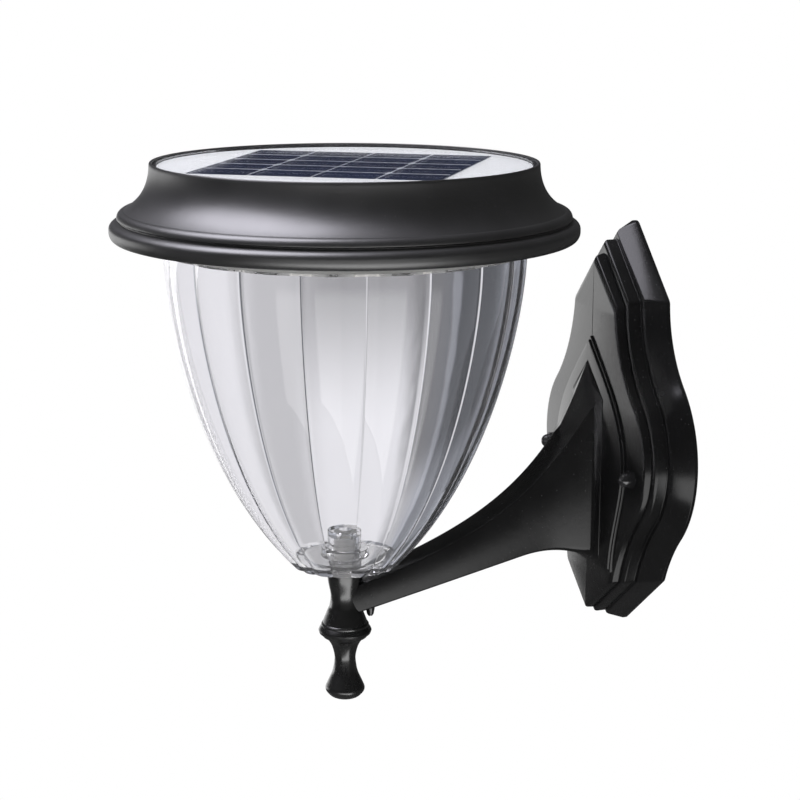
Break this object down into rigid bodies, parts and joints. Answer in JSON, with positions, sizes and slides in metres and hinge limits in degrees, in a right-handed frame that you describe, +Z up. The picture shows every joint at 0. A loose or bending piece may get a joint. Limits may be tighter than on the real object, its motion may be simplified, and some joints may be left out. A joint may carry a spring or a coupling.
{
  "type": "solar wall light",
  "caption": "Wall light with a fluted clear tulip shade on a curved arm and stepped shield plate, under a coved round cap with a solar panel.",
  "frame": {"origin": "on the wall plane, at the back of the crossbar, midway between the two studs that carry the wall plate", "axes": "+Z up, +Y into the wall, so the light reaches out along -Y"},
  "size_m": [0.25, 0.3, 0.2996],
  "materials": {
    "satin_black_casting": "satin black powder coat",
    "satin_black_cap": "satin black powder coat, softly reflecting",
    "gloss_black_turned": "gloss black paint",
    "plated_steel": "zinc plated",
    "black_steel": "black plated",
    "clear_acrylic": "clear, glossy, fluted",
    "clear_cover": "clear, glossy",
    "milky_plastic": "opal",
    "white_plastic": "moulded, matt",
    "white_laminate": "smooth",
    "black_plastic": "moulded, matt",
    "grey_rubber": "matt",
    "black_rubber": "matt",
    "silicon": "dark blue, slightly glossy",
    "silver_ribbon": "tinned",
    "green_board": "solder mask",
    "white_board": "white solder mask",
    "led_package": "phosphor dome",
    "battery_wrap": "shrink sleeve",
    "nickel": "nickel plated",
    "brass_insert": "machined",
    "red_wire": "insulated",
    "white_wire": "insulated",
    "grey_button": "moulded"
  },
  "bodies": {
    "mount": {"crossbar": "plated_steel", "bracket_studs": "plated_steel", "domed_nuts": "black_steel", "wall_plate": "satin_black_casting", "arm_screws": "plated_steel", "arm": "satin_black_casting", "arm_lock_screw": "black_steel", "stem_rod": "plated_steel", "finial": "gloss_black_turned", "shade_washer": "grey_rubber", "shade": "clear_acrylic", "shade_insert": "brass_insert", "shade_ring": "white_plastic"},
    "solar_head": {"cap_shell": "satin_black_cap", "panel_cover": "clear_cover", "panel_seal": "black_rubber", "cell_strips": "silicon", "cell_ribbons": "silver_ribbon", "panel_backing": "white_laminate", "junction_box": "black_plastic", "light_housing": "white_plastic", "head_seal": "grey_rubber", "housing_screws": "plated_steel", "led_board": "white_board", "led_chips": "led_package", "led_board_screws": "plated_steel", "diffuser": "milky_plastic", "battery_holder": "black_plastic", "battery_cells": "battery_wrap", "battery_contacts": "nickel", "control_board": "green_board", "control_board_screws": "plated_steel", "switch_body": "black_plastic", "panel_leads": "red_wire", "led_leads": "white_wire"},
    "switch_button": {"switch_button": "grey_button"}
  },
  "joints": [
    {"name": "head_twist", "type": "hinge", "parent": "mount", "child": "solar_head", "pos_m": [0, -0.175, 0.14], "axis": [0, 0, 1], "range_deg": [0, 25]},
    {"name": "switch_press", "type": "slide", "parent": "solar_head", "child": "switch_button", "axis": [0, 0, 1], "range_m": [0, 0.002], "stiffness_N_per_m": 400, "springref_m": -0.001}
  ]
}
